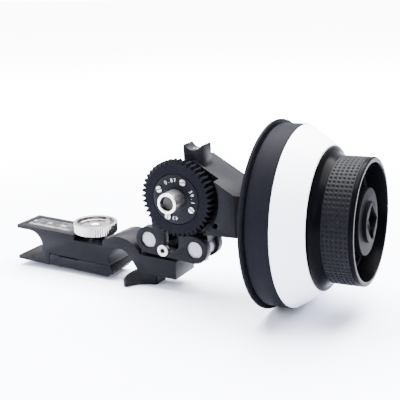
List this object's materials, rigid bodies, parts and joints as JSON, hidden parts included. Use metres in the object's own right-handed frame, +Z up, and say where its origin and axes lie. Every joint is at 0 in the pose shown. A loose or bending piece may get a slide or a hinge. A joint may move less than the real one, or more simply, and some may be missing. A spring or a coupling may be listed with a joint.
{
  "type": "follow focus unit",
  "caption": "Geared focus drive on a rod bridge: tilting gearbox with a toothed drive gear, a large hand wheel with a white marking cone and a knurled knob, thumbscrew and lever clamps.",
  "frame": {"origin": "on the axis of the near support rod, halfway across the bridge", "axes": "+X from the far rod towards the hand wheel, +Y along the rods and away from the drive gear, +Z up"},
  "size_m": [0.2023, 0.0916, 0.0941],
  "materials": {
    "black_anodised": "black satin anodised",
    "bright_nickel": "bright nickel plated",
    "plain_steel": "turned steel",
    "light_grey_steel": "light grey, finely ground",
    "bearing_brass": "plain bronze",
    "white_plastic": "smooth white, takes pen marks",
    "gloss_black_plastic": "glossy black",
    "grip_rubber": "moulded black rubber, knurled"
  },
  "bodies": {
    "base": {"bridge_body": "black_anodised", "hinge_knuckle": "black_anodised", "stop_dowel": "bright_nickel"},
    "jaw": {"lower_jaw": "black_anodised", "jaw_pin": "plain_steel"},
    "thumbscrew": {"thumbscrew_head": "bright_nickel", "thumbscrew_stud": "plain_steel"},
    "lever": {"clamp_lever": "black_anodised", "lever_spindle": "plain_steel"},
    "link": {"link_front_cheek": "black_anodised", "link_rear_cheek": "black_anodised", "link_clamp_screw": "bright_nickel", "link_spacer": "plain_steel", "hinge_pin_a": "light_grey_steel"},
    "head": {"hinge_pin_b": "light_grey_steel", "saddle_screw": "plain_steel", "gearbox_housing": "black_anodised", "gearbox_rear_cover": "black_anodised", "rear_cover_screws": "plain_steel", "gear_shaft_bushes": "bearing_brass", "counter_rear_bush": "bearing_brass", "bearing_nose": "black_anodised", "nose_screws": "bright_nickel", "nose_bearings": "plain_steel"},
    "knob": {"knob_shaft": "plain_steel", "bevel_pinion": "plain_steel", "wheel_flange": "black_anodised", "wheel_drum": "black_anodised", "drum_screws": "plain_steel", "marking_ring": "white_plastic", "knob_body": "gloss_black_plastic", "grip_sleeve": "grip_rubber", "hub_disc": "black_anodised"},
    "counter": {"counter_shaft": "plain_steel", "bevel_gear": "plain_steel", "counter_spur": "plain_steel"},
    "gear": {"gear_shaft": "plain_steel", "output_spur": "plain_steel", "drive_gear_ring": "black_anodised", "gear_face_disc": "black_anodised", "gear_face_screws": "bright_nickel", "release_tube": "bright_nickel", "plunger_spring": "plain_steel"},
    "plunger": {"release_plunger": "bright_nickel"}
  },
  "joints": [
    {"name": "thumbscrew_turn", "type": "hinge", "parent": "base", "child": "thumbscrew", "pos_m": [-0.0219, 0, 0.0139], "axis": [0, 0, 1], "range_deg": [-50, 360]},
    {"name": "jaw_swing", "type": "hinge", "parent": "base", "child": "jaw", "pos_m": [-0.0439, 0, -0.0067], "axis": [0, -1, 0], "range_deg": [-2.65, 0.4]},
    {"name": "lever_turn", "type": "hinge", "parent": "base", "child": "lever", "pos_m": [0.0154, 0, -0.007], "axis": [0, 0, 1], "range_deg": [-120, 60]},
    {"name": "link_swing", "type": "hinge", "parent": "base", "child": "link", "pos_m": [0.0172, 0, 0.0152], "axis": [0, -1, 0], "range_deg": [0, 70]},
    {"name": "head_tilt", "type": "hinge", "parent": "link", "child": "head", "pos_m": [0.0443, 0, 0.0141], "axis": [0, -1, 0], "range_deg": [-50, 5]},
    {"name": "knob_spin", "type": "hinge", "parent": "head", "child": "knob", "pos_m": [0.08783, 0, 0.03756], "axis": [0.9978, 0, 0.0668], "continuous": true},
    {"name": "counter_spin", "type": "hinge", "parent": "head", "child": "counter", "pos_m": [0.04699, 0, 0.03483], "axis": [0, 1, 0], "continuous": true},
    {"name": "gear_spin", "type": "hinge", "parent": "head", "child": "gear", "pos_m": [0.03714, 0, 0.04168], "axis": [0, 1, 0], "continuous": true},
    {"name": "plunger_push", "type": "slide", "parent": "gear", "child": "plunger", "axis": [0, 1, 0], "range_m": [0, 0.0025], "stiffness_N_per_m": 400, "deforming": ["plunger_spring"]}
  ],
  "couplings": [
    {"joint": "jaw_swing", "follows": "thumbscrew_turn", "ratio": -0.00723},
    {"joint": "counter_spin", "follows": "knob_spin", "ratio": -1},
    {"joint": "gear_spin", "follows": "knob_spin", "ratio": 1}
  ]
}
